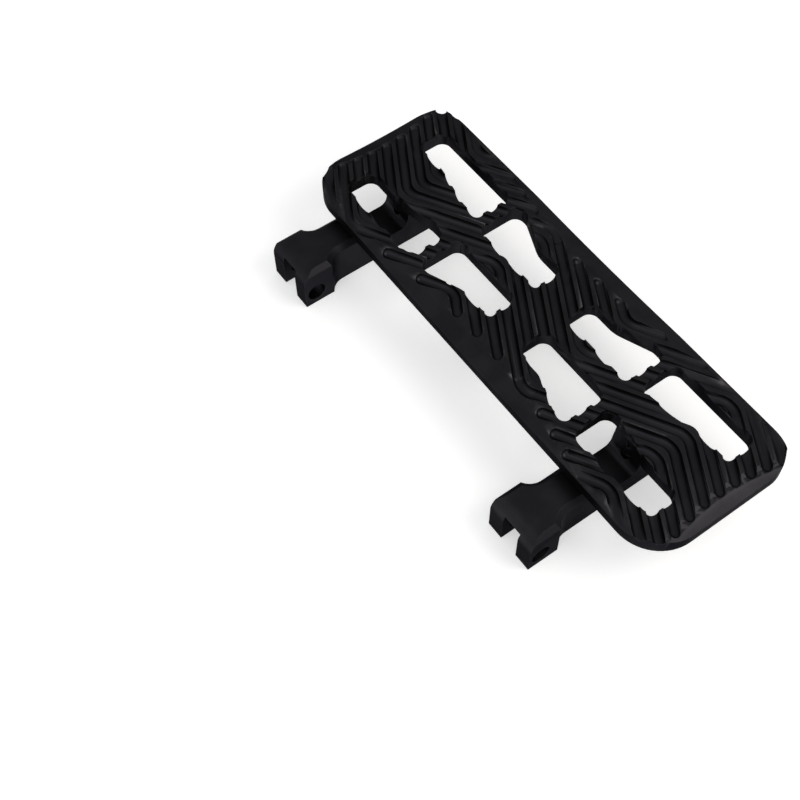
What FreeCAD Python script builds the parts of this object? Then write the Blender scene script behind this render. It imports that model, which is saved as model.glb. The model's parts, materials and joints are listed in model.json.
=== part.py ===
import FreeCAD, Part
import math
import os

# Motorcycle floorboard, all sizes in millimetres.
# X points outboard, Y forward, Z up. The arms reach inboard, towards -X.
# The model is drawn with the plate's underside at Z = 0 and its centre at X = 0,
# and is moved at the end so that its base is at Z = 0 and its middle at X = 0.

# driving sizes of the plate
plate_width = 120.0
plate_length = 364.0
plate_thickness = 12.7
inboard_corner = 31.0
outboard_corner = 25.0

# driving sizes of the bevelled rim: a steep strip, then a shallower ledge
strip_width = 6.7
strip_angle = 24.0
ledge_angle = 14.5
valley_radius = 14.0
side_waist = 42.0
side_arc_radius = 450.0
side_straight = 54.4
bevel_angle = 38.0
end_reach = 168.5
end_arc_radius = 166.0

# driving sizes of the zigzag grooves
groove_pitch = 12.26
groove_width = 7.7
groove_depth = 4.3
groove_angle = 30.0
bend_radius = 13.0
bend_spacing = 85.6
first_bend_y = 126.0
first_groove_x = -10.3
grooves_inboard = 7
grooves_outboard = 9
side_tip = 2.2
end_tip = 2.0

# driving sizes of the windows
window_outer = 43.3
window_corner = 7.0
window_neck = 31.5
window_spine = 7.4
window_waist = 12.5
window_bow = 19.3
front_window_far = 158.0
front_window_near = 80.5
upper_mid_far = 72.5
upper_mid_near = 10.7
lower_mid_far = -19.5
lower_mid_near = -79.8
rear_window_far = -87.4
rear_window_near = -159.0
front_bow_end = 128.0
front_waist_end = 96.0
rear_bow_end = -128.0
rear_waist_end = -99.0
bow_radius = 30.0
bottle_outer = 42.3
upper_shoulder = 10.5
lower_shoulder = 11.5
shoulder_radius = 8.0
upper_neck_length = 25.3
lower_neck_length = 22.5
neck_radius = 25.0

# driving sizes of the arms
front_arm_y = 138.9
rear_arm_y = -107.8
arm_gap = 6.4
arm_height = 33.0
arm_end_x = -104.4
arm_nose_radius = 12.0
arm_chamfer = 3.5
fork_half = 19.6
neck_half = 13.2
fork_inner_x = -81.0
neck_start_x = -70.0
shoulder_x = -54.0
bar_height = 16.6
bar_fillet = 6.0
pad_start_x = -13.5
pad_end_x = 18.0
pad_end_radius = 9.0
pivot_x = -95.1
pivot_height = 10.8
pivot_bore = 14.0
pivot_thread = 6.4
slot_width = 14.7
slot_radius = 16.3

# driving sizes of the screws
screw_pitch = 16.0
screw_centre_x = 1.0
screw_diameter = 8.0
screw_grip = 16.0
screw_head = 13.0
screw_head_height = 8.0
screw_key = 6.0
screw_key_depth = 4.0
thread_depth = 6.4
screw_gap = 0.4
counterbore = 14.0

# sizes that follow from the ones above
half_width = plate_width / 2
half_length = plate_length / 2
strip_drop = strip_width * math.tan(math.radians(strip_angle))
arm_top = -arm_gap
arm_bottom = arm_top - arm_height
bar_top = arm_bottom + bar_height
pivot_z = arm_bottom + pivot_height
middle_x = (arm_end_x + half_width) / 2
reach = 30.0
over = 5.0


def vec(x, y, z=0.0):
    return FreeCAD.Vector(x, y, z)


def rounded_wire(corners, z=0.0):
    """Closed wire through corners (x, y, radius), each corner rounded."""
    edges = []
    starts = []
    ends = []
    mids = []
    count = len(corners)
    for i in range(count):
        x, y, radius = corners[i]
        here = vec(x, y)
        before = vec(*corners[i - 1][:2]) - here
        after = vec(*corners[(i + 1) % count][:2]) - here
        before.normalize()
        after.normalize()
        half = before.getAngle(after) / 2
        setback = radius / math.tan(half) if radius else 0.0
        middle = before + after
        middle.normalize()
        bow = radius / math.sin(half) - radius if radius else 0.0
        starts.append(here + before * setback)
        ends.append(here + after * setback)
        mids.append(here + middle * bow)
    lift = vec(0, 0, z)
    for i in range(count):
        if corners[i][2]:
            arc = Part.Arc(starts[i] + lift, mids[i] + lift, ends[i] + lift)
            edges.append(arc.toShape())
        follow = starts[(i + 1) % count]
        if ends[i].distanceToPoint(follow) > 0.001:
            edges.append(Part.makeLine(ends[i] + lift, follow + lift))
    return Part.Wire(edges)


def prism(corners, bottom, top):
    """Upright solid with a rounded outline between two heights."""
    face = Part.Face(rounded_wire(corners, bottom))
    return face.extrude(vec(0, 0, top - bottom))


def both_sides(corners):
    """The same outline on the inboard side and the outboard side."""
    return [corners, [(-x, y, radius) for x, y, radius in corners]]


# plate blank

def plate_blank():
    corners = [
        (half_width, half_length, outboard_corner),
        (-half_width, half_length, inboard_corner),
        (-half_width, -half_length, inboard_corner),
        (half_width, -half_length, outboard_corner),
    ]
    return prism(corners, 0.0, plate_thickness)


# rim: one section of strip and ledge, turned about a far upright axis

def rim_section(distance, inward):
    """Section removed outside the strip line, inward = +1 or -1 along X."""
    slope = math.tan(math.radians(ledge_angle))
    strip_foot = vec(distance + inward * strip_width, 0, plate_thickness - strip_drop)
    ledge_end = strip_foot + vec(inward * reach, 0, -reach * slope)
    start = vec(distance, 0, plate_thickness)
    up = vec(0, 0, over)
    along_strip = start - strip_foot
    along_ledge = ledge_end - strip_foot
    half = along_strip.getAngle(along_ledge) / 2
    setback = valley_radius / math.tan(half)
    along_strip.normalize()
    along_ledge.normalize()
    middle = along_strip + along_ledge
    middle.normalize()
    bow = valley_radius / math.sin(half) - valley_radius
    valley_in = strip_foot + along_strip * setback
    valley_out = strip_foot + along_ledge * setback
    valley_mid = strip_foot + middle * bow
    tilt = math.tan(math.radians(strip_angle))
    lead = start + vec(-inward * over / tilt, 0, over)
    edges = [
        Part.makeLine(lead, valley_in),
        Part.Arc(valley_in, valley_mid, valley_out).toShape(),
        Part.makeLine(valley_out, ledge_end),
        Part.makeLine(ledge_end, ledge_end + up * 4),
        Part.makeLine(ledge_end + up * 4, lead),
    ]
    return Part.Face(Part.Wire(edges))


def rim_cutter(arc_radius, span):
    """Rim section turned about the Z axis, arc_radius away from it."""
    section = rim_section(arc_radius, -1.0)
    angle = math.degrees(math.asin(span / (arc_radius - reach)))
    section.rotate(vec(0, 0), vec(0, 0, 1), -angle)
    return section.revolve(vec(0, 0), vec(0, 0, 1), 2 * angle)


def corner_cutter():
    """Straight bevel along the long sides, seen near the corners."""
    drop = (half_width + over - side_straight) * math.tan(math.radians(bevel_angle))
    back = over / math.tan(math.radians(bevel_angle))
    face = Part.Face(Part.makePolygon([
        vec(side_straight - back, -half_length, plate_thickness + over),
        vec(half_width + over, -half_length, plate_thickness - drop),
        vec(half_width + over, -half_length, plate_thickness + over),
        vec(side_straight - back, -half_length, plate_thickness + over),
    ]))
    return face.extrude(vec(0, plate_length, 0))


def rim_cutters():
    side = rim_cutter(side_arc_radius, half_length)
    side.rotate(vec(0, 0), vec(0, 0, 1), 180)
    side.translate(vec(side_waist + side_arc_radius, 0))
    end = rim_cutter(end_arc_radius, half_width + over)
    end.rotate(vec(0, 0), vec(0, 0, 1), -90)
    end.translate(vec(0, end_reach + end_arc_radius))
    straight = corner_cutter()
    cutters = []
    for shape in (side, end, straight):
        cutters.append(shape)
        cutters.append(shape.rotated(vec(0, 0), vec(0, 0, 1), 180))
    return cutters


# grooves: one ball-ended cutter swept along a zigzag with rounded bends

def zigzag_path():
    """Zigzag wire, bends towards -X at the first bend, then alternating."""
    swing = bend_spacing * math.tan(math.radians(groove_angle))
    depth = bend_radius / math.cos(math.radians(groove_angle)) - bend_radius
    sharp_in = -depth
    sharp_out = sharp_in + swing
    points = []
    y = first_bend_y + bend_spacing
    outward = True
    while y > -half_length - bend_spacing:
        points.append(vec(sharp_out if outward else sharp_in, y))
        y -= bend_spacing
        outward = not outward
    edges = []
    last = points[0]
    for i in range(1, len(points) - 1):
        before = points[i - 1] - points[i]
        after = points[i + 1] - points[i]
        before.normalize()
        after.normalize()
        half = before.getAngle(after) / 2
        setback = bend_radius / math.tan(half)
        bow = bend_radius / math.sin(half) - bend_radius
        middle = before + after
        middle.normalize()
        start = points[i] + before * setback
        end = points[i] + after * setback
        edges.append(Part.makeLine(last, start))
        edges.append(Part.Arc(start, points[i] + middle * bow, end).toShape())
        last = end
    edges.append(Part.makeLine(last, points[-1]))
    return Part.Wire(edges)


def limit_face():
    """Area in plan where the tip of the groove cutter may run."""
    length = plate_length + 4 * groove_width
    width = plate_width + 4 * groove_width
    area = Part.makePlane(width, length, vec(-width / 2, -length / 2))
    side_x = side_waist + side_arc_radius
    end_y = end_reach + end_arc_radius
    for x, y, radius in (
        (side_x, 0, side_arc_radius - side_tip),
        (-side_x, 0, side_arc_radius - side_tip),
        (0, end_y, end_arc_radius - end_tip),
        (0, -end_y, end_arc_radius - end_tip),
    ):
        area = area.cut(Part.makeCylinder(radius, 2.0, vec(x, y, -1.0)))
    return area.Faces[0]


def cutter_half(point, side):
    """Half section of the ball-ended cutter at a point, towards one side."""
    radius = groove_width / 2
    floor = vec(point.x, point.y, plate_thickness - groove_depth)
    centre = floor + vec(0, 0, radius)
    top = vec(0, 0, groove_depth - radius + 2.0)
    rim = centre + side * radius
    lean = (side - vec(0, 0, 1)) * (radius * math.sqrt(0.5))
    return [
        Part.Arc(floor, centre + lean, rim).toShape(),
        Part.makeLine(rim, rim + top),
        Part.makeLine(rim + top, centre + top),
    ], Part.makeLine(centre + top, floor)


def ball_end(point, outward):
    """Half turn of the cutter, where a groove ends."""
    side = outward.cross(vec(0, 0, 1))
    half, axis_line = cutter_half(point, side)
    face = Part.Face(Part.Wire(half + [axis_line]))
    return face.revolve(point, vec(0, 0, 1), 180)


def groove_cut(path):
    """Round-bottomed cut along one clipped path, with ball ends."""
    first = path.OrderedEdges[0]
    last = path.OrderedEdges[-1]
    start = path.OrderedVertexes[0].Point
    end = path.OrderedVertexes[-1].Point
    ahead = end_direction(first, start) * -1
    beyond = end_direction(last, end)
    across = ahead.cross(vec(0, 0, 1))
    left, _ = cutter_half(start, across)
    right, _ = cutter_half(start, across * -1)
    section = Part.Wire(Part.__sortEdges__(left + right))
    lifted = path.translated(vec(0, 0, plate_thickness - groove_depth))
    sweep = Part.BRepOffsetAPI.MakePipeShell(lifted)
    sweep.setTransitionMode(1)
    sweep.setFrenetMode(True)
    sweep.add(section)
    sweep.build()
    sweep.makeSolid()
    body = sweep.shape()
    return body.multiFuse([ball_end(start, ahead * -1), ball_end(end, beyond)])


def end_direction(edge, point):
    """Unit direction in which an edge leaves at one of its ends."""
    low, high = edge.ParameterRange
    at_low = edge.valueAt(low).distanceToPoint(point) < 0.01
    direction = edge.tangentAt(low if at_low else high)
    direction.normalize()
    return direction * (-1 if at_low else 1)


def groove_field():
    """Every groove: the zigzag at each pitch, clipped to the limit."""
    path = zigzag_path()
    limit = limit_face()
    cuts = []
    for i in range(-grooves_inboard, grooves_outboard + 1):
        x = first_groove_x + i * groove_pitch
        clipped = path.translated(vec(x, 0)).common(limit)
        for chain in Part.sortEdges(clipped.Edges):
            wire = Part.Wire(chain)
            if wire.Length > groove_width / 2:
                cuts.append(groove_cut(wire))
    return cuts


# windows

def window_outlines():
    corner = window_corner
    bowed = [
        (window_outer, front_window_far, corner),
        (window_bow, front_window_far, corner),
        (window_bow, front_bow_end, bow_radius),
        (window_waist, front_waist_end, bow_radius),
        (window_waist, front_window_near, corner),
        (window_outer, front_window_near, corner),
    ]
    bowed_rear = [
        (window_outer, rear_window_near, corner),
        (window_bow, rear_window_near, corner),
        (window_bow, rear_bow_end, bow_radius),
        (window_waist, rear_waist_end, bow_radius),
        (window_waist, rear_window_far, corner),
        (window_outer, rear_window_far, corner),
    ]
    bottle = [
        (window_spine, upper_mid_far, corner),
        (bottle_outer, upper_mid_far, corner),
        (bottle_outer, upper_mid_far - upper_shoulder, shoulder_radius),
        (window_neck, upper_mid_near + upper_neck_length, neck_radius),
        (window_neck, upper_mid_near, corner),
        (window_spine, upper_mid_near, corner),
    ]
    bottle_rear = [
        (window_spine, lower_mid_near, corner),
        (bottle_outer, lower_mid_near, corner),
        (bottle_outer, lower_mid_near + lower_shoulder, shoulder_radius),
        (window_neck, lower_mid_far - lower_neck_length, neck_radius),
        (window_neck, lower_mid_far, corner),
        (window_spine, lower_mid_far, corner),
    ]
    outlines = []
    for corners in (bowed, bowed_rear, bottle, bottle_rear):
        outlines.extend(both_sides(corners))
    return outlines


def window_cutters():
    return [prism(o, -over, plate_thickness + over) for o in window_outlines()]


# screws and their holes

def screw_places():
    half = screw_pitch / 2
    return [screw_centre_x - half, screw_centre_x + half]


def cylinder(diameter, bottom, top, x=0.0, y=0.0):
    return Part.makeCylinder(diameter / 2, top - bottom, vec(x, y, bottom))


def arm_screw():
    """Socket head screw, thread up, its head bearing at -screw_grip."""
    seat = -screw_grip
    shank = cylinder(screw_diameter, seat, thread_depth)
    shank = shank.makeChamfer(0.8, [e for e in shank.Edges if e.BoundBox.ZMin > 0])
    head = cylinder(screw_head, seat - screw_head_height, seat)
    low_rim = [e for e in head.Edges if e.BoundBox.ZMax < seat - 0.1]
    head = head.makeChamfer(0.8, low_rim[:1])
    corners = []
    for i in range(7):
        turn = math.radians(60 * i)
        width = screw_key / math.sqrt(3)
        x = width * math.cos(turn)
        y = width * math.sin(turn)
        corners.append(vec(x, y, seat - screw_head_height))
    key = Part.Face(Part.makePolygon(corners)).extrude(vec(0, 0, screw_key_depth))
    return shank.fuse(head).cut(key).removeSplitter()


# arms

def side_profile():
    """Outline of the arm seen along Y, as a face in the XZ plane."""
    corners = [
        (arm_end_x, arm_bottom, 0.6),
        (pad_end_x, arm_bottom, pad_end_radius),
        (pad_end_x, 0.0, 0.0),
        (pad_start_x + 4.0, 0.0, 0.0),
        (pad_start_x, bar_top, bar_fillet),
        (shoulder_x + 6.0, bar_top, bar_fillet),
        (shoulder_x, arm_top, 4.0),
        (arm_end_x, arm_top, arm_nose_radius),
    ]
    wire = rounded_wire(corners)
    wire.rotate(vec(0, 0), vec(1, 0, 0), 90)
    return Part.Face(wire)


def plan_wire(inset, z):
    """Plan outline of the arm, drawn in by inset along its sides."""
    fork = fork_half - inset
    neck = neck_half - inset
    run = neck_start_x - fork_inner_x
    rise = fork_half - neck_half
    sweep = (run ** 2 + rise ** 2) / (2 * rise)
    radius = sweep + inset
    corner = neck_start_x - math.sqrt(radius ** 2 - (radius - fork + neck) ** 2)
    front = arm_end_x - over
    back = pad_end_x + over
    turn = math.acos((radius - fork + neck) / radius) / 2
    mid_x = neck_start_x - radius * math.sin(turn)
    mid_y = neck + radius - radius * math.cos(turn)
    edges = [
        Part.makeLine(vec(back, -neck, z), vec(back, neck, z)),
        Part.makeLine(vec(back, neck, z), vec(neck_start_x, neck, z)),
        Part.Arc(vec(neck_start_x, neck, z), vec(mid_x, mid_y, z), vec(corner, fork, z)).toShape(),
        Part.makeLine(vec(corner, fork, z), vec(front, fork, z)),
        Part.makeLine(vec(front, fork, z), vec(front, -fork, z)),
        Part.makeLine(vec(front, -fork, z), vec(corner, -fork, z)),
        Part.Arc(vec(corner, -fork, z), vec(mid_x, -mid_y, z), vec(neck_start_x, -neck, z)).toShape(),
        Part.makeLine(vec(neck_start_x, -neck, z), vec(back, -neck, z)),
    ]
    return Part.Wire(edges)


def arm_shape():
    width = 2 * fork_half + 2
    body = side_profile().extrude(vec(0, width, 0))
    body.translate(vec(0, -width / 2, 0))
    wall_top = arm_top - arm_chamfer
    lower = Part.Face(plan_wire(0.0, arm_bottom - over))
    lower = lower.extrude(vec(0, 0, wall_top - arm_bottom + over))
    bevel = Part.makeLoft([plan_wire(0.0, wall_top), plan_wire(arm_chamfer, arm_top)], True, True)
    pad_box = Part.makeBox(pad_end_x + over - shoulder_x - 5.0, 2 * neck_half, over + arm_height)
    pad_box.translate(vec(shoulder_x + 5.0, -neck_half, -arm_height))
    plan = lower.fuse(bevel).fuse(pad_box)
    body = body.common(plan)
    slot = Part.makeCylinder(slot_radius, slot_width, vec(pivot_x, -slot_width / 2, pivot_z), vec(0, 1, 0))
    mouth = Part.makeBox(2 * slot_radius, slot_width, 2 * slot_radius)
    mouth.translate(vec(pivot_x - 2 * slot_radius, -slot_width / 2, pivot_z - slot_radius))
    foot = Part.makeBox(2 * slot_radius, slot_width, 2 * slot_radius)
    foot.translate(vec(pivot_x - slot_radius, -slot_width / 2, pivot_z - 2 * slot_radius))
    body = body.cut(slot.fuse(mouth).fuse(foot))
    bore = Part.makeCylinder(pivot_bore / 2, fork_half + over, vec(pivot_x, 0, pivot_z), vec(0, -1, 0))
    thread = Part.makeCylinder(pivot_thread / 2, fork_half + over, vec(pivot_x, 0, pivot_z), vec(0, 1, 0))
    body = body.cut(bore).cut(thread)
    for x in screw_places():
        body = body.cut(cylinder(screw_diameter + 2 * screw_gap, -screw_grip - 1.0, over, x))
        body = body.cut(cylinder(counterbore, arm_bottom - over, -screw_grip, x))
    return body.removeSplitter()


# build every piece

plate = plate_blank()
plate = plate.cut(rim_cutters())
plate = plate.cut(groove_field())
plate = plate.cut(window_cutters())
for arm_y in (front_arm_y, rear_arm_y):
    for x in screw_places():
        plate = plate.cut(cylinder(screw_diameter, -over, thread_depth, x, arm_y))
plate = plate.removeSplitter()

arm = arm_shape()
screw = arm_screw()
near_x, far_x = screw_places()

pieces = {
    "board_plate": plate,
    "front_arm": arm.translated(vec(0, front_arm_y)),
    "rear_arm": arm.translated(vec(0, rear_arm_y)),
    "front_arm_screw_inboard": screw.translated(vec(near_x, front_arm_y)),
    "front_arm_screw_outboard": screw.translated(vec(far_x, front_arm_y)),
    "rear_arm_screw_inboard": screw.translated(vec(near_x, rear_arm_y)),
    "rear_arm_screw_outboard": screw.translated(vec(far_x, rear_arm_y)),
}

os.makedirs("parts", exist_ok=True)
for name, shape in pieces.items():
    shape.translate(vec(-middle_x, 0, -arm_bottom))
    solid = shape.Solids[0]
    print(name, "solids", len(shape.Solids), "valid", shape.isValid(), "volume", round(shape.Volume))
    solid.exportStep("parts/" + name + ".step")
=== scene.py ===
"""The looks of a motorcycle floorboard: a grooved, windowed plate on two forked arms.

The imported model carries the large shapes, but its plate lacks part of one groove and the bends
of two others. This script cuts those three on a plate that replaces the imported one, winds the
threads that the pivot bolts take, gives each piece its finish, and sets up a plain studio with
the photograph's view.
"""

from __future__ import annotations

import json
import logging
import math
from collections.abc import Mapping
from dataclasses import dataclass
from enum import Enum

import bmesh
import bpy
from mathutils import Matrix, Quaternion, Vector

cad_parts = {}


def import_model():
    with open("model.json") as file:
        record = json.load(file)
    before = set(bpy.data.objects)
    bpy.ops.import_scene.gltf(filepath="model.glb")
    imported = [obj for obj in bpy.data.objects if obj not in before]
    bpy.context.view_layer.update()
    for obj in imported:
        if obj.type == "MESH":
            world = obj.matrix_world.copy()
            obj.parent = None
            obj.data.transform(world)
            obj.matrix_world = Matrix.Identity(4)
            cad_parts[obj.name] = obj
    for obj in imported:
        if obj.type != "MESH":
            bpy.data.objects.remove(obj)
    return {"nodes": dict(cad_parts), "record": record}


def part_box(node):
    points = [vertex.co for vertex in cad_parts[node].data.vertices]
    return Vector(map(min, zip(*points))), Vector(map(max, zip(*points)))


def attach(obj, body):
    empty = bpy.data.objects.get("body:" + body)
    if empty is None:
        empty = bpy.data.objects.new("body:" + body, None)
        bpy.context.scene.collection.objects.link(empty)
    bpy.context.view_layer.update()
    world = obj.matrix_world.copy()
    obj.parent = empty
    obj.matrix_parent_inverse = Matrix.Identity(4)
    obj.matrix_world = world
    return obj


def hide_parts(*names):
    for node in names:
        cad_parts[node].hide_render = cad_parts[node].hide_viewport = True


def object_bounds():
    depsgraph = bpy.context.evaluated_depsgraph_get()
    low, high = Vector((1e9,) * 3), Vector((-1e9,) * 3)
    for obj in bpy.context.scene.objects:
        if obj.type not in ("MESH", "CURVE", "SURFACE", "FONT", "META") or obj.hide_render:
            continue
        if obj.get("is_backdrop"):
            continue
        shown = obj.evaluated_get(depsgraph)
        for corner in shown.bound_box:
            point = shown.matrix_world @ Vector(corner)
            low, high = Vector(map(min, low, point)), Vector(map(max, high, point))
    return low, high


MM = 0.001
ROOT = "root"
BEVEL_SAMPLES = 6
WELD = 0.001 * MM
PLATE_WELD = 0.0005 * MM

log = logging.getLogger("floorboard")


class Signal:
    """A number that changes over a surface, held as the socket that gives it."""

    def __init__(self, book: NodeBook, socket: bpy.types.NodeSocket) -> None:
        """Wraps one output socket of a node tree."""
        self.book = book
        self.socket = socket

    def _math(self, operation: str, *parts: Signal | float) -> Signal:
        """Adds one Math node.

        Args:
            operation: the Math node's operation.
            parts: its inputs, in order.

        Returns:
            The node's result.
        """
        made = self.book.node("ShaderNodeMath", {"operation": operation}, dict(enumerate(parts)))
        return Signal(self.book, made.outputs[0])

    def __add__(self, other: Signal | float) -> Signal:
        """This and the other, added."""
        return self._math("ADD", self, other)

    def __radd__(self, other: float) -> Signal:
        """The other and this, added."""
        return self._math("ADD", other, self)

    def __sub__(self, other: Signal | float) -> Signal:
        """This less the other."""
        return self._math("SUBTRACT", self, other)

    def __rsub__(self, other: float) -> Signal:
        """The other less this."""
        return self._math("SUBTRACT", other, self)

    def __mul__(self, other: Signal | float) -> Signal:
        """This times the other."""
        return self._math("MULTIPLY", self, other)

    def __rmul__(self, other: float) -> Signal:
        """The other times this."""
        return self._math("MULTIPLY", other, self)

    def __pow__(self, other: float) -> Signal:
        """This raised to a power."""
        return self._math("POWER", self, other)

    def __abs__(self) -> Signal:
        """This without its sign."""
        return self._math("ABSOLUTE", self)

    def root(self) -> Signal:
        """The square root."""
        return self._math("SQRT", self)

    def sine(self) -> Signal:
        """The sine, of radians."""
        return self._math("SINE", self)

    def larger(self, other: Signal | float) -> Signal:
        """The larger of this and the other."""
        return self._math("MAXIMUM", self, other)

    def step(self, low: float, high: float) -> Signal:
        """A smooth step of this number.

        Args:
            low: the value that gives 0.
            high: the value that gives 1, which may be the smaller one.

        Returns:
            A number from 0 to 1.
        """
        ends = {"Value": self, "From Min": low, "From Max": high, "To Min": 0.0, "To Max": 1.0}
        if low > high:
            ends |= {"From Min": high, "From Max": low, "To Min": 1.0, "To Max": 0.0}
        made = self.book.node("ShaderNodeMapRange", {"interpolation_type": "SMOOTHSTEP"}, ends)
        return Signal(self.book, made.outputs["Result"])


class NodeBook:
    """One node tree, to which every node is added by the same method."""

    def __init__(self, tree: bpy.types.NodeTree) -> None:
        """Takes over a node tree and empties it."""
        self.tree = tree
        self.tree.nodes.clear()

    def node(
        self,
        kind: str,
        settings: Mapping[str, object] | None = None,
        sockets: Mapping[int | str, object] | None = None,
    ) -> bpy.types.Node:
        """Adds one node.

        Args:
            kind: the node's type, such as ShaderNodeMath.
            settings: the node's own settings, which are made first.
            sockets: a number, colour, socket or Signal for each named or numbered input.

        Returns:
            The new node.
        """
        made = self.tree.nodes.new(kind)
        for name, value in (settings or {}).items():
            setattr(made, name, value)
        for name, value in (sockets or {}).items():
            source = value.socket if isinstance(value, Signal) else value
            if isinstance(source, bpy.types.NodeSocket):
                self.tree.links.new(source, made.inputs[name])
            else:
                made.inputs[name].default_value = source
        return made

    def place(self) -> bpy.types.NodeSocket:
        """The point on the object, in its own coordinates."""
        return self.node("ShaderNodeTexCoord").outputs["Object"]

    def split(self, vector: bpy.types.NodeSocket) -> tuple[Signal, Signal, Signal]:
        """The three numbers of a vector."""
        x, y, z = self.node("ShaderNodeSeparateXYZ", None, {0: vector}).outputs
        return Signal(self, x), Signal(self, y), Signal(self, z)

    def noise(self, vector: bpy.types.NodeSocket, size: float, detail: float = 2.0) -> Signal:
        """A noise pattern.

        Args:
            vector: the point that is read.
            size: the width of one blotch, in metres.
            detail: how many finer octaves are added.

        Returns:
            A number round 0.5.
        """
        sockets = {"Vector": vector, "Scale": 1.0 / size, "Detail": detail}
        return Signal(self, self.node("ShaderNodeTexNoise", None, sockets).outputs[0])

    def blend(
        self, share: Signal, first: tuple[float, ...], second: tuple[float, ...]
    ) -> bpy.types.NodeSocket:
        """A colour between two others.

        Args:
            share: 0 for the first colour and 1 for the second.
            first: a colour, or a socket that gives one.
            second: the other colour.

        Returns:
            The socket with the blended colour.
        """
        start = first if isinstance(first, bpy.types.NodeSocket) else (*first, 1.0)
        sockets = {0: share, 6: start, 7: (*second, 1.0)}
        return self.node("ShaderNodeMix", {"data_type": "RGBA"}, sockets).outputs[2]

    def rounded(self, radius: float) -> bpy.types.NodeSocket:
        """The surface's normal, with every edge rounded by a radius."""
        return self.node("ShaderNodeBevel", {"samples": BEVEL_SAMPLES}, {"Radius": radius}).outputs[0]

    def turned_away(self, normal: bpy.types.NodeSocket) -> Signal:
        """How far a normal leans from the face's own: 0 on a flat face, more at an edge."""
        face = self.node("ShaderNodeNewGeometry").outputs["True Normal"]
        made = self.node("ShaderNodeVectorMath", {"operation": "DOT_PRODUCT"}, {0: normal, 1: face})
        return 1.0 - Signal(self, made.outputs["Value"])

    def raised(
        self, height: Signal, depth: float, normal: bpy.types.NodeSocket
    ) -> bpy.types.NodeSocket:
        """A normal disturbed by a height.

        Args:
            height: the relief, 0 to 1.
            depth: how deep the relief is, in metres.
            normal: the normal that is disturbed.

        Returns:
            The socket with the new normal.
        """
        sockets = {"Strength": 1.0, "Distance": depth, "Height": height, "Normal": normal}
        return self.node("ShaderNodeBump", None, sockets).outputs[0]


class CutterMarks(Enum):
    """The fine lines that the last cut leaves on a piece."""

    RIM_SWEEPS = "sweeps along the arcs of the rim"
    SIDE_PASSES = "level passes round the upright sides"


@dataclass(frozen=True)
class Anodised:
    """Aluminium blasted fine and anodised black."""

    name: str
    marks: CutterMarks
    centre: tuple[float, float] = (0.0, 0.0)
    dye: tuple[float, float, float] = (0.0240, 0.0232, 0.0268)
    dye_blotch: tuple[float, float, float] = (0.0310, 0.0300, 0.0335)
    worn: tuple[float, float, float] = (0.060, 0.058, 0.062)
    roughness: float = 0.42
    roughness_spread: float = 0.10
    edge_tint: float = 0.36
    blotch_size: float = 22.0 * MM
    grain_size: float = 0.32 * MM
    grain_depth: float = 0.012 * MM
    edge_break: float = 0.45 * MM
    mark_pitch: float = 1.15 * MM
    mark_depth: float = 0.020 * MM
    side_arc: tuple[float, float] = (492.0 * MM, 450.0 * MM)
    end_arc: tuple[float, float] = (334.5 * MM, 166.0 * MM)
    strip_width: float = 8.0 * MM
    strip_fade: float = 2.0 * MM
    side_mark_share: float = 0.6
    edge_turn: tuple[float, float] = (0.01, 0.22)
    edge_wear: tuple[float, float] = (0.25, 0.5)
    scuff_size: float = 5.0 * MM

    def _marks(self, book: NodeBook, place: bpy.types.NodeSocket) -> Signal:
        """The cutter's lines as a height.

        Args:
            book: the material's tree.
            place: the point on the object.

        Returns:
            A height round 0.
        """
        x, y, z = book.split(place)
        x, y = x - self.centre[0], y - self.centre[1]
        turn = 2.0 * math.pi / self.mark_pitch
        if self.marks is CutterMarks.RIM_SWEEPS:
            side = self.side_arc[1] - ((self.side_arc[0] - abs(x)) ** 2.0 + y**2.0).root()
            end = self.end_arc[1] - ((self.end_arc[0] - abs(y)) ** 2.0 + x**2.0).root()
            beyond = side.larger(end)
            past_strip = beyond.step(self.strip_width, self.strip_width + self.strip_fade)
            return (beyond * turn).sine() * past_strip
        normal = book.node("ShaderNodeNewGeometry").outputs["True Normal"]
        upright = abs(book.split(normal)[2]).step(0.35, 0.05)
        return (z * turn).sine() * upright * self.side_mark_share

    def build(self) -> bpy.types.Material:
        """Makes the material.

        Returns:
            The finished material.
        """
        made = bpy.data.materials.new(self.name)
        made.use_nodes = True
        book = NodeBook(made.node_tree)
        place = book.place()
        rounded = book.rounded(self.edge_break)
        edge = book.turned_away(rounded).step(*self.edge_turn)
        blotch = book.noise(place, self.blotch_size, 3.0)
        grain = book.noise(place, self.grain_size, 1.0)
        scuff = book.noise(place, self.scuff_size, 5.0).step(0.42, 0.68)

        colour = book.blend(blotch.step(0.35, 0.65), self.dye, self.dye_blotch)
        least, more = self.edge_wear
        colour = book.blend(edge * (least + more * scuff), colour, self.worn)
        rough = self.roughness + self.roughness_spread * (blotch - 0.5)
        rough = rough - 0.05 * edge + 0.06 * (grain - 0.5)
        normal = book.raised(grain, self.grain_depth, rounded)
        normal = book.raised(self._marks(book, place), self.mark_depth, normal)
        shader = book.node(
            "ShaderNodeBsdfPrincipled",
            None,
            {
                "Base Color": colour,
                "Roughness": rough,
                "Metallic": 1.0,
                "Specular Tint": (self.edge_tint,) * 3 + (1.0,),
                "Normal": normal,
            },
        )
        book.node("ShaderNodeOutputMaterial", None, {"Surface": shader.outputs[0]})
        return made


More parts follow.
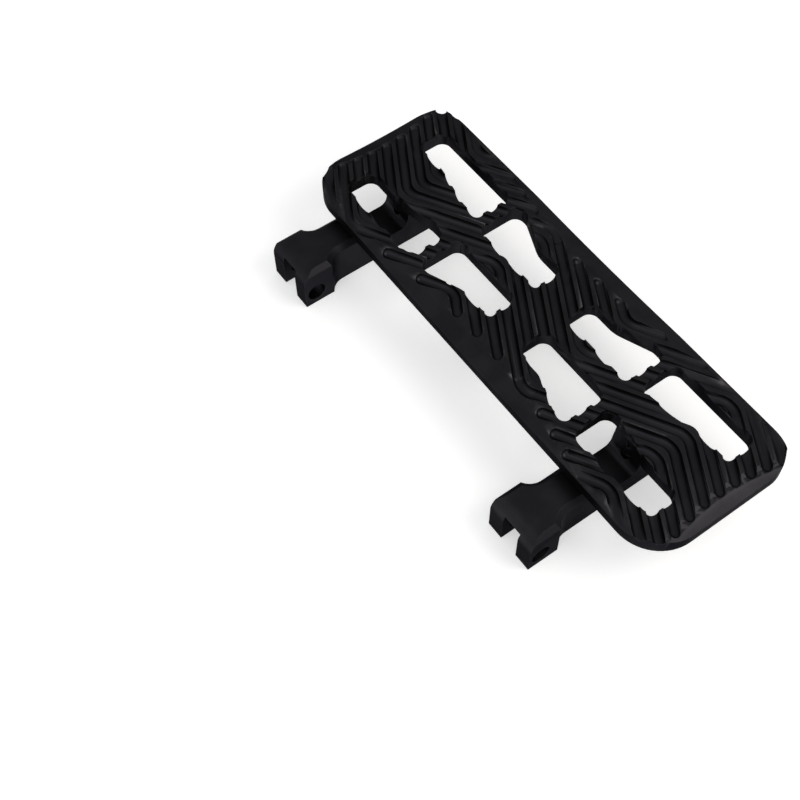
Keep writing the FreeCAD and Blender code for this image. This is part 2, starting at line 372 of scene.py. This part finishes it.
@dataclass(frozen=True)
class BlackSteel:
    """Steel with a thin black oxide, a little brighter where it has rubbed."""

    name: str
    oxide: tuple[float, float, float] = (0.030, 0.029, 0.031)
    bright: tuple[float, float, float] = (0.18, 0.175, 0.17)
    roughness: float = 0.36
    grain_size: float = 0.25 * MM
    grain_depth: float = 0.006 * MM
    edge_break: float = 0.25 * MM

    def build(self) -> bpy.types.Material:
        """Makes the material.

        Returns:
            The finished material.
        """
        made = bpy.data.materials.new(self.name)
        made.use_nodes = True
        book = NodeBook(made.node_tree)
        place = book.place()
        rounded = book.rounded(self.edge_break)
        edge = book.turned_away(rounded).step(0.02, 0.3)
        patch = book.noise(place, 4.0 * MM, 3.0)
        grain = book.noise(place, self.grain_size, 2.0)
        colour = book.blend(edge * patch.step(0.35, 0.75), self.oxide, self.bright)
        shader = book.node(
            "ShaderNodeBsdfPrincipled",
            None,
            {
                "Base Color": colour,
                "Roughness": self.roughness + 0.16 * (patch - 0.5),
                "Metallic": 1.0,
                "Normal": book.raised(grain, self.grain_depth, rounded),
            },
        )
        book.node("ShaderNodeOutputMaterial", None, {"Surface": shader.outputs[0]})
        return made


def dress(piece: bpy.types.Object, finish: bpy.types.Material) -> None:
    """Gives a piece one finish.

    Args:
        piece: a mesh object.
        finish: the material for all of it.
    """
    piece.data.materials.clear()
    piece.data.materials.append(finish)
    log.info("%s: finish %s", piece.name, finish.name)


def piece_from(shape: bmesh.types.BMesh, name: str) -> bpy.types.Object:
    """Makes an object from a bmesh, with its place in its mesh.

    Args:
        shape: the finished bmesh, in metres in the row frame. It is freed.
        name: the new object's name.

    Returns:
        The object, linked to the scene.
    """
    mesh = bpy.data.meshes.new(name)
    shape.to_mesh(mesh)
    shape.free()
    made = bpy.data.objects.new(name, mesh)
    bpy.context.scene.collection.objects.link(made)
    return made


@dataclass
class Groove:
    """A groove with a rounded bend, as the cutter's swept volume.

    The start, the bend's corner and the end are in metres in the row frame.
    """

    start: tuple[float, float]
    bend: tuple[float, float]
    end: tuple[float, float]
    ball_ended: bool = False
    radius: float = 3.85 * MM
    depth: float = 4.3 * MM
    bend_radius: float = 13.0 * MM
    above: float = 2.0 * MM
    steps: int = 16

    def _profile(self, top: float) -> list[tuple[float, float]]:
        """Half of the cutter's section, from its tip up to above the crests.

        Args:
            top: the height of the crests.

        Returns:
            Points as (reach, height).
        """
        floor = top - self.depth
        turns = [math.pi / 2 * i / self.steps for i in range(self.steps + 1)]
        curve = [
            (self.radius * math.sin(t), floor + self.radius * (1 - math.cos(t))) for t in turns
        ]
        return [*curve, (self.radius, top + self.above)]

    def cutter(self, top: float) -> bpy.types.Object:
        """The cutter itself, standing at the groove's start.

        Args:
            top: the height of the crests.

        Returns:
            A closed solid of revolution.
        """
        shape = bmesh.new()
        points = [*self._profile(top), (0.0, top + self.above)]
        verts = [shape.verts.new((reach, 0.0, height)) for reach, height in points]
        edges = [shape.edges.new(pair) for pair in zip(verts, verts[1:])]
        bmesh.ops.spin(
            shape,
            geom=[*verts, *edges],
            axis=(0.0, 0.0, 1.0),
            cent=(0.0, 0.0, 0.0),
            angle=2.0 * math.pi,
            steps=4 * self.steps,
        )
        bmesh.ops.remove_doubles(shape, verts=shape.verts, dist=WELD)
        bmesh.ops.translate(shape, verts=shape.verts, vec=(*self.start, 0.0))
        bmesh.ops.recalc_face_normals(shape, faces=shape.faces)
        return piece_from(shape, "groove_cutter")

    def sweep(self, top: float) -> bpy.types.Object:
        """The cutter's section, drawn from the start round the bend to the end.

        Args:
            top: the height of the crests.

        Returns:
            A closed solid.
        """
        start, bend, end = (Vector((*place, 0.0)) for place in (self.start, self.bend, self.end))
        before = (start - bend).normalized()
        after = (end - bend).normalized()
        half = before.angle(after) / 2
        setback = self.bend_radius / math.tan(half)
        centre = bend + (before + after).normalized() * (self.bend_radius / math.sin(half))
        first, last = bend + before * setback, bend + after * setback
        across = Vector((-before.y, before.x, 0.0))
        right = self._profile(top)
        section = [(-reach, height) for reach, height in reversed(right[1:])] + right
        shape = bmesh.new()
        verts = [
            shape.verts.new(first + across * reach + Vector((0, 0, height)))
            for reach, height in section
        ]
        face = shape.faces.new(verts)
        turn = (first - centre).to_2d().angle_signed((last - centre).to_2d())
        made = bmesh.ops.extrude_face_region(shape, geom=[face], use_keep_orig=True)
        moved = [v for v in made["geom"] if isinstance(v, bmesh.types.BMVert)]
        bmesh.ops.translate(shape, verts=moved, vec=start - first)
        spun = bmesh.ops.spin(
            shape,
            geom=[face, *face.edges, *face.verts],
            axis=(0.0, 0.0, -1.0),
            cent=(centre.x, centre.y, 0.0),
            angle=turn,
            steps=self.steps,
        )
        tail = [item for item in spun["geom_last"] if isinstance(item, bmesh.types.BMFace)]
        made = bmesh.ops.extrude_face_region(shape, geom=tail)
        moved = [v for v in made["geom"] if isinstance(v, bmesh.types.BMVert)]
        bmesh.ops.translate(shape, verts=moved, vec=end - last)
        bmesh.ops.delete(shape, geom=[f for f in (face, *tail) if f.is_valid], context="FACES_ONLY")
        bmesh.ops.remove_doubles(shape, verts=shape.verts, dist=WELD)
        bmesh.ops.recalc_face_normals(shape, faces=shape.faces)
        return piece_from(shape, "groove_sweep")


@dataclass
class BoardPlate:
    """The long plate, with its grooves, windows and swept rim."""

    node: bpy.types.Object
    name: str = "board_plate"
    sharp_from: float = math.radians(28.0)
    lacking: tuple[Groove, ...] = (
        Groove((-0.0332, -0.0980), (-0.01425, -0.1308), (-0.0489, -0.1908), ball_ended=True),
        Groove((-0.02158, -0.0360), (-0.02689, -0.0452), (-0.02158, -0.0544)),
        Groove((0.06626, 0.0496), (0.07157, 0.0404), (0.06626, 0.0312)),
    )

    def _grooved(self, top: float) -> bpy.types.Object:
        """A copy of the plate with the groove and the two bends cut that its solid lacks.

        Args:
            top: the height of the plate's crests.

        Returns:
            The plate that is shown.
        """
        shape = bmesh.new()
        shape.from_mesh(self.node.data)
        bmesh.ops.remove_doubles(shape, verts=shape.verts, dist=PLATE_WELD)
        shown = piece_from(shape, f"{self.name}_grooved")
        cutters = [groove.sweep(top) for groove in self.lacking]
        cutters += [groove.cutter(top) for groove in self.lacking if groove.ball_ended]
        for cutter in cutters:
            cut = shown.modifiers.new(cutter.name, "BOOLEAN")
            cut.operation = "DIFFERENCE"
            cut.solver = "EXACT"
            cut.object = cutter
        seen = shown.evaluated_get(bpy.context.evaluated_depsgraph_get())
        mesh = bpy.data.meshes.new_from_object(seen)
        shown.modifiers.clear()
        shown.data = mesh
        for cutter in cutters:
            bpy.data.objects.remove(cutter)
        mesh.shade_smooth()
        mesh.set_sharp_from_angle(angle=self.sharp_from)
        log.info("%s: %d faces", shown.name, len(mesh.polygons))
        return shown

    def build(self) -> None:
        """Cuts the last grooves and dresses the plate, with its cutter marks centred on it."""
        low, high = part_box(self.name)
        middle = (low + high) / 2
        shown = self._grooved(high.z)
        finish = Anodised("plate_black", CutterMarks.RIM_SWEEPS, (middle.x, middle.y))
        dress(shown, finish.build())
        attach(shown, ROOT)
        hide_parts(self.name)


@dataclass
class BoltThread:
    """The thread in an arm's small hole: one ridge wound along the hole's wall."""

    arm: str
    middle: Vector
    axis: Vector
    hole_radius: float
    length: float
    pitch: float = 1.25 * MM
    ridge: float = 0.42 * MM
    bite: float = 0.06 * MM
    lead_in: float = 0.9 * MM
    steps_per_turn: int = 40

    def build(self, finish: bpy.types.Material) -> bpy.types.Object:
        """Winds the ridge and puts it in the hole.

        Args:
            finish: the arm's own material.

        Returns:
            The thread, attached to the root body.
        """
        wound = self.length - 2.0 * self.lead_in
        turns = wound / self.pitch
        outer = self.hole_radius + self.bite
        half = 0.42 * self.pitch
        shape = bmesh.new()
        corners = [
            shape.verts.new((outer, 0.0, -half)),
            shape.verts.new((outer - self.ridge - self.bite, 0.0, 0.0)),
            shape.verts.new((outer, 0.0, half)),
        ]
        start = shape.faces.new(corners)
        steps = round(turns * self.steps_per_turn)
        bmesh.ops.spin(
            shape,
            geom=[start, *start.edges, *start.verts],
            cent=(0.0, 0.0, 0.0),
            axis=(0.0, 0.0, 1.0),
            dvec=(0.0, 0.0, wound / steps),
            angle=2.0 * math.pi * turns,
            steps=steps,
            use_duplicate=False,
        )
        bmesh.ops.remove_doubles(shape, verts=shape.verts, dist=WELD)
        bmesh.ops.holes_fill(shape, edges=shape.edges, sides=4)
        bmesh.ops.recalc_face_normals(shape, faces=shape.faces)
        bmesh.ops.translate(shape, verts=shape.verts, vec=(0.0, 0.0, -wound / 2))
        turned = Vector((0.0, 0.0, 1.0)).rotation_difference(self.axis).to_matrix().to_4x4()
        bmesh.ops.transform(shape, matrix=Matrix.Translation(self.middle) @ turned, verts=shape.verts)
        made = piece_from(shape, f"{self.arm}_pivot_thread")
        dress(made, finish)
        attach(made, ROOT)
        return made


@dataclass
class ForkedArm:
    """One arm with its forked end: the plain hole is in one ear, the thread in the other."""

    node: bpy.types.Object
    name: str
    thread: BoltThread

    def build(self) -> None:
        """Dresses the arm and cuts its thread."""
        low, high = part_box(self.name)
        middle = (low + high) / 2
        finish = Anodised(
            f"{self.name}_black",
            CutterMarks.SIDE_PASSES,
            (middle.x, middle.y),
            roughness=0.44,
            grain_size=0.4 * MM,
            mark_pitch=1.6 * MM,
        ).build()
        dress(self.node, finish)
        self.thread.build(finish)


@dataclass
class ArmScrew:
    """A socket screw that holds an arm to the plate from beneath."""

    node: bpy.types.Object

    def build(self, finish: bpy.types.Material) -> None:
        """Dresses the screw."""
        dress(self.node, finish)


@dataclass
class Softbox:
    """A square lamp that faces the board."""

    name: str
    towards: tuple[float, float, float]
    distance: float
    width: float
    power: float
    tint: tuple[float, float, float] = (1.0, 1.0, 1.0)

    def build(self, target: Vector) -> bpy.types.Object:
        """Hangs the lamp.

        Args:
            target: the point that the lamp faces.

        Returns:
            The lamp.
        """
        data = bpy.data.lights.new(self.name, "AREA")
        data.shape = "SQUARE"
        data.size = self.width
        data.energy = self.power
        data.color = self.tint
        made = bpy.data.objects.new(self.name, data)
        bpy.context.scene.collection.objects.link(made)
        away = Vector(self.towards).normalized()
        made.location = target + away * self.distance
        made.rotation_mode = "QUATERNION"
        made.rotation_quaternion = (-away).to_track_quat("-Z", "Y")
        log.info("lamp %s: %.0f W", self.name, self.power)
        return made


@dataclass
class PhotoCamera:
    """The photograph's viewpoint, as a place, a heading and a small roll."""

    place: tuple[float, float, float] = (-327.27 * MM, -353.50 * MM, 729.08 * MM)
    target: tuple[float, float, float] = (-92.13 * MM, -7.60 * MM, 52.1 * MM)
    roll: float = -1.658
    lens: float = 57.80
    sensor: float = 36.0

    def build(self) -> bpy.types.Object:
        """Sets up the camera.

        Returns:
            The scene's camera.
        """
        data = bpy.data.cameras.new("photo_camera")
        data.lens = self.lens
        data.sensor_width = self.sensor
        data.clip_start = 0.02
        data.clip_end = 50.0
        made = bpy.data.objects.new("photo_camera", data)
        bpy.context.scene.collection.objects.link(made)
        heading = Vector(self.target) - Vector(self.place)
        made.location = self.place
        made.rotation_mode = "QUATERNION"
        turned = Quaternion((0.0, 0.0, 1.0), math.radians(self.roll))
        made.rotation_quaternion = heading.to_track_quat("-Z", "Y") @ turned
        bpy.context.scene.camera = made
        return made


@dataclass
class Studio:
    """A plain pale floor, a white surround and soft lamps."""

    centre: Vector
    floor_half: float = 6.0
    floor_colour: tuple[float, float, float] = (0.88, 0.88, 0.88)
    floor_lift: float = 0.45
    wall: float = 0.80
    ceiling: float = 0.46
    wall_top: float = 0.12
    ceiling_start: float = 0.55

    def _floor(self) -> None:
        """Lays the floor, a little brighter to the camera so that it reads as white."""
        shape = bmesh.new()
        bmesh.ops.create_grid(shape, x_segments=1, y_segments=1, size=self.floor_half)
        made = piece_from(shape, "floor")
        paint = bpy.data.materials.new("floor_white")
        paint.use_nodes = True
        book = NodeBook(paint.node_tree)
        rays = book.node("ShaderNodeLightPath").outputs
        seen = Signal(book, rays["Is Camera Ray"])
        for other in ("Is Glossy Ray", "Is Transmission Ray"):
            seen = seen.larger(Signal(book, rays[other]))
        lift = (self.floor_lift,) * 3
        shader = book.node(
            "ShaderNodeBsdfPrincipled",
            None,
            {
                "Base Color": (*self.floor_colour, 1.0),
                "Roughness": 0.9,
                "Specular IOR Level": 0.0,
                "Emission Color": book.blend(seen, (0.0, 0.0, 0.0), lift),
                "Emission Strength": 1.0,
            },
        )
        book.node("ShaderNodeOutputMaterial", None, {"Surface": shader.outputs[0]})
        dress(made, paint)
        made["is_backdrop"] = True

    def _world(self) -> None:
        """Surrounds the board with a white wall that darkens to a grey ceiling."""
        world = bpy.data.worlds.new("surround")
        world.use_nodes = True
        book = NodeBook(world.node_tree)
        height = book.split(book.node("ShaderNodeTexCoord").outputs["Generated"])[2]
        white, grey = (self.wall,) * 3, (self.ceiling,) * 3
        colour = book.blend(height.step(self.wall_top, self.ceiling_start), white, grey)
        sky = book.node("ShaderNodeBackground", None, {"Color": colour, "Strength": 1.0})
        book.node("ShaderNodeOutputWorld", None, {"Surface": sky.outputs[0]})
        bpy.context.scene.world = world

    def build(self) -> None:
        """Sets up the floor, the surround, the lamps and the camera."""
        self._floor()
        self._world()
        lamps = (
            Softbox("key", (0.42, -0.52, 0.74), 1.5, 0.9, 7.5, (1.0, 0.955, 0.90)),
            Softbox("camera_side", (-0.66, -0.16, 0.74), 1.5, 1.1, 3.0, (0.93, 0.95, 1.0)),
            Softbox("behind", (-0.50, -0.78, 0.50), 1.6, 0.9, 1.0),
        )
        for lamp in lamps:
            lamp.build(self.centre)
        PhotoCamera().build()
        bpy.context.scene.view_settings.view_transform = "Standard"


def thread_of(arm: str, record: Mapping[str, object]) -> BoltThread:
    """Reads an arm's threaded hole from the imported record.

    Args:
        arm: the arm's node, such as front_arm.
        record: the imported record.

    Returns:
        The thread that fills that hole.
    """
    wanted = f"{arm.removesuffix('_arm')}_pivot_thread"
    mount = next(m for m in record["mounts"] if m["name"] == wanted)
    sizes = mount["dims"]
    return BoltThread(
        arm,
        Vector(mount["pos_m"]),
        Vector(mount["axis"]),
        sizes["r_mm"] * MM,
        sizes["length_mm"] * MM,
    )


def main() -> None:
    """Loads the frame, dresses every node and builds the studio round the frame's bounds."""
    logging.basicConfig(level=logging.INFO, format="%(name)s %(message)s")
    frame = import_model()
    low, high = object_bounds()
    nodes = frame["nodes"]
    BoardPlate(nodes["board_plate"]).build()
    steel = BlackSteel("screw_black").build()
    for arm in ("front_arm", "rear_arm"):
        ForkedArm(nodes[arm], arm, thread_of(arm, frame["record"])).build()
        for side in ("inboard", "outboard"):
            ArmScrew(nodes[f"{arm}_screw_{side}"]).build(steel)
    Studio(Vector(((low.x + high.x) / 2, 0.0, high.z))).build()
    bpy.context.view_layer.update()


if __name__ == "__main__":
    main()
